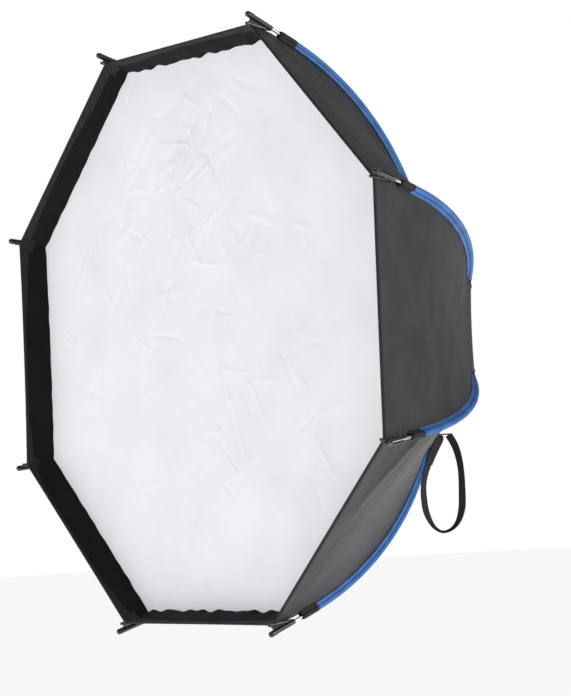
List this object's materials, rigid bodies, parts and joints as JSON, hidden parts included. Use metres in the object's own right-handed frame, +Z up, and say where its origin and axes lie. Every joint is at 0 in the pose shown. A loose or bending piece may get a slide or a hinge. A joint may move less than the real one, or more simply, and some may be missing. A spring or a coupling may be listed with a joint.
{
  "type": "studio softbox",
  "caption": "Octagonal folding studio softbox: fabric dome on sprung ribs, recessed front diffuser, inner baffle and a turning bayonet speed ring.",
  "frame": {"origin": "centre of the speed ring's mounting face, on the axis of its bore", "axes": "+Y along the bore towards the lamp, so the front opening faces -Y; +Z is up"},
  "size_m": [0.8546, 0.4822, 0.8546],
  "materials": {
    "die_cast_aluminium": "satin",
    "anodised_black": "matte",
    "steel": "brushed",
    "spring_steel": "polished",
    "nylon": "matte",
    "black_plastic": "satin",
    "gloss_black_plastic": "gloss",
    "canopy_cloth": "coated woven nylon",
    "lip_cloth": "matte woven",
    "silver_lining": "metallised",
    "diffuser_cloth": "translucent woven",
    "white_elastic": "woven elastic",
    "blue_sleeve": "satin woven",
    "boot_webbing": "woven",
    "black_webbing": "woven webbing"
  },
  "bodies": {
    "mount": {"bayonet_insert": "die_cast_aluminium", "retaining_ring": "anodised_black", "retaining_screws": "steel", "slip_washer": "nylon"},
    "lock": {"lock_knob": "black_plastic", "lock_stud": "steel"},
    "hub": {"hub_ring": "anodised_black", "rib_brackets": "anodised_black", "bracket_screws": "steel", "hinge_pins": "steel", "lock_pad": "steel", "rear_collar": "canopy_cloth", "canopy_gore_1": "canopy_cloth", "canopy_gore_2": "canopy_cloth", "canopy_gore_3": "canopy_cloth", "canopy_gore_4": "canopy_cloth", "canopy_gore_5": "canopy_cloth", "canopy_gore_6": "canopy_cloth", "canopy_gore_7": "canopy_cloth", "canopy_gore_8": "canopy_cloth", "reflective_lining": "silver_lining", "front_lip": "lip_cloth", "rim_hem": "black_webbing", "corner_tabs": "black_webbing", "front_diffuser": "diffuser_cloth", "inner_baffle": "diffuser_cloth", "baffle_straps": "white_elastic", "baffle_hooks": "black_plastic", "rib_sleeves": "blue_sleeve", "front_boots": "boot_webbing", "rear_boots": "boot_webbing"},
    "rib_1": {"rod_1": "spring_steel", "knuckle_1": "black_plastic", "tip_clip_1": "gloss_black_plastic"},
    "rib_2": {"rod_2": "spring_steel", "knuckle_2": "black_plastic", "tip_clip_2": "gloss_black_plastic"},
    "rib_3": {"rod_3": "spring_steel", "knuckle_3": "black_plastic", "tip_clip_3": "gloss_black_plastic"},
    "rib_4": {"rod_4": "spring_steel", "knuckle_4": "black_plastic", "tip_clip_4": "gloss_black_plastic"},
    "rib_5": {"rod_5": "spring_steel", "knuckle_5": "black_plastic", "tip_clip_5": "gloss_black_plastic"},
    "rib_6": {"rod_6": "spring_steel", "knuckle_6": "black_plastic", "tip_clip_6": "gloss_black_plastic"},
    "rib_7": {"rod_7": "spring_steel", "knuckle_7": "black_plastic", "tip_clip_7": "gloss_black_plastic", "strap_tab": "black_webbing", "tie_strap": "black_webbing"},
    "rib_8": {"rod_8": "spring_steel", "knuckle_8": "black_plastic", "tip_clip_8": "gloss_black_plastic"}
  },
  "joints": [
    {"name": "dome_turn", "type": "hinge", "parent": "mount", "child": "hub", "pos_m": [0, 0, 0], "axis": [0, 1, 0], "continuous": true},
    {"name": "lock_turn", "type": "hinge", "parent": "hub", "child": "lock", "pos_m": [0, 0, -0.084], "axis": [0, 1, 0], "range_deg": [0, 270]},
    {"name": "rib_1_fold", "type": "hinge", "parent": "hub", "child": "rib_1", "pos_m": [0.03387, -0.01249, 0.08176], "axis": [0.9239, 0, -0.3827], "range_deg": [0, 20], "deforming": ["canopy_gore_1", "canopy_gore_2", "canopy_gore_3", "canopy_gore_4", "canopy_gore_5", "canopy_gore_6", "canopy_gore_7", "canopy_gore_8", "reflective_lining", "front_lip", "rim_hem", "corner_tabs", "front_diffuser", "inner_baffle", "baffle_straps", "baffle_hooks", "rib_sleeves", "front_boots", "rear_boots"]},
    {"name": "rib_2_fold", "type": "hinge", "parent": "hub", "child": "rib_2", "pos_m": [-0.03387, -0.01249, 0.08176], "axis": [0.9239, 0, 0.3827], "range_deg": [0, 20]},
    {"name": "rib_3_fold", "type": "hinge", "parent": "hub", "child": "rib_3", "pos_m": [-0.08176, -0.01249, 0.03387], "axis": [0.3827, 0, 0.9239], "range_deg": [0, 20]},
    {"name": "rib_4_fold", "type": "hinge", "parent": "hub", "child": "rib_4", "pos_m": [-0.08176, -0.01249, -0.03387], "axis": [-0.3827, 0, 0.9239], "range_deg": [0, 20]},
    {"name": "rib_5_fold", "type": "hinge", "parent": "hub", "child": "rib_5", "pos_m": [-0.03387, -0.01249, -0.08176], "axis": [-0.9239, 0, 0.3827], "range_deg": [0, 20]},
    {"name": "rib_6_fold", "type": "hinge", "parent": "hub", "child": "rib_6", "pos_m": [0.03387, -0.01249, -0.08176], "axis": [-0.9239, 0, -0.3827], "range_deg": [0, 20]},
    {"name": "rib_7_fold", "type": "hinge", "parent": "hub", "child": "rib_7", "pos_m": [0.08176, -0.01249, -0.03387], "axis": [-0.3827, 0, -0.9239], "range_deg": [0, 20]},
    {"name": "rib_8_fold", "type": "hinge", "parent": "hub", "child": "rib_8", "pos_m": [0.08176, -0.01249, 0.03387], "axis": [0.3827, 0, -0.9239], "range_deg": [0, 20]}
  ],
  "couplings": [
    {"joint": "rib_2_fold", "follows": "rib_1_fold", "ratio": 1},
    {"joint": "rib_3_fold", "follows": "rib_1_fold", "ratio": 1},
    {"joint": "rib_4_fold", "follows": "rib_1_fold", "ratio": 1},
    {"joint": "rib_5_fold", "follows": "rib_1_fold", "ratio": 1},
    {"joint": "rib_6_fold", "follows": "rib_1_fold", "ratio": 1},
    {"joint": "rib_7_fold", "follows": "rib_1_fold", "ratio": 1},
    {"joint": "rib_8_fold", "follows": "rib_1_fold", "ratio": 1}
  ]
}
